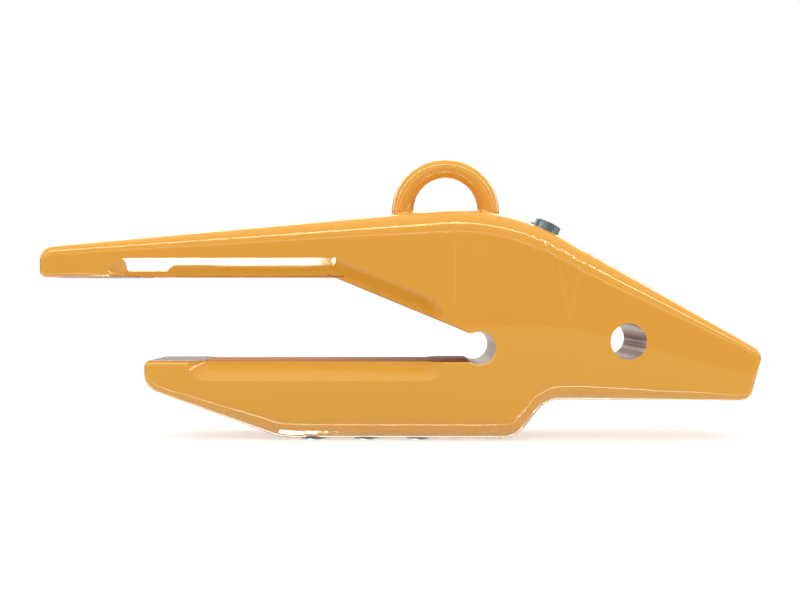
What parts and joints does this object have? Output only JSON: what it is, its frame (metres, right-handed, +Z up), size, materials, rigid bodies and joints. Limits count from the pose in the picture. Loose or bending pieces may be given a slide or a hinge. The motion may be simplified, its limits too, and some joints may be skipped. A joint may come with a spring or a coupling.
{
  "type": "bucket tooth adapter",
  "caption": "Weld-on bucket tooth adapter: two straps grip a lip plate, a cross-bored nose takes the tooth, with a lifting eye and steel wear buttons.",
  "frame": {"origin": "centre of the pin bore through the nose, on the casting's middle plane", "axes": "+X forwards to the tip of the nose, away from the bucket; +Y along the pin bore, to the left; +Z up, away from the straps' seat on the lip's underside"},
  "size_m": [0.8676, 0.138, 0.3439],
  "materials": {
    "orange_paint": "glossy orange-yellow paint over a steel casting, with bare machined pads, pin bore and relief hole",
    "wear_steel": "bare blue-grey steel"
  },
  "bodies": {
    "root": {"adapter_casting": "orange_paint", "belly_button_right_1": "wear_steel", "belly_button_left_1": "wear_steel", "belly_button_right_2": "wear_steel", "belly_button_left_2": "wear_steel", "belly_button_right_3": "wear_steel", "belly_button_left_3": "wear_steel", "crown_button_right": "wear_steel", "crown_button_left": "wear_steel"}
  },
  "joints": []
}
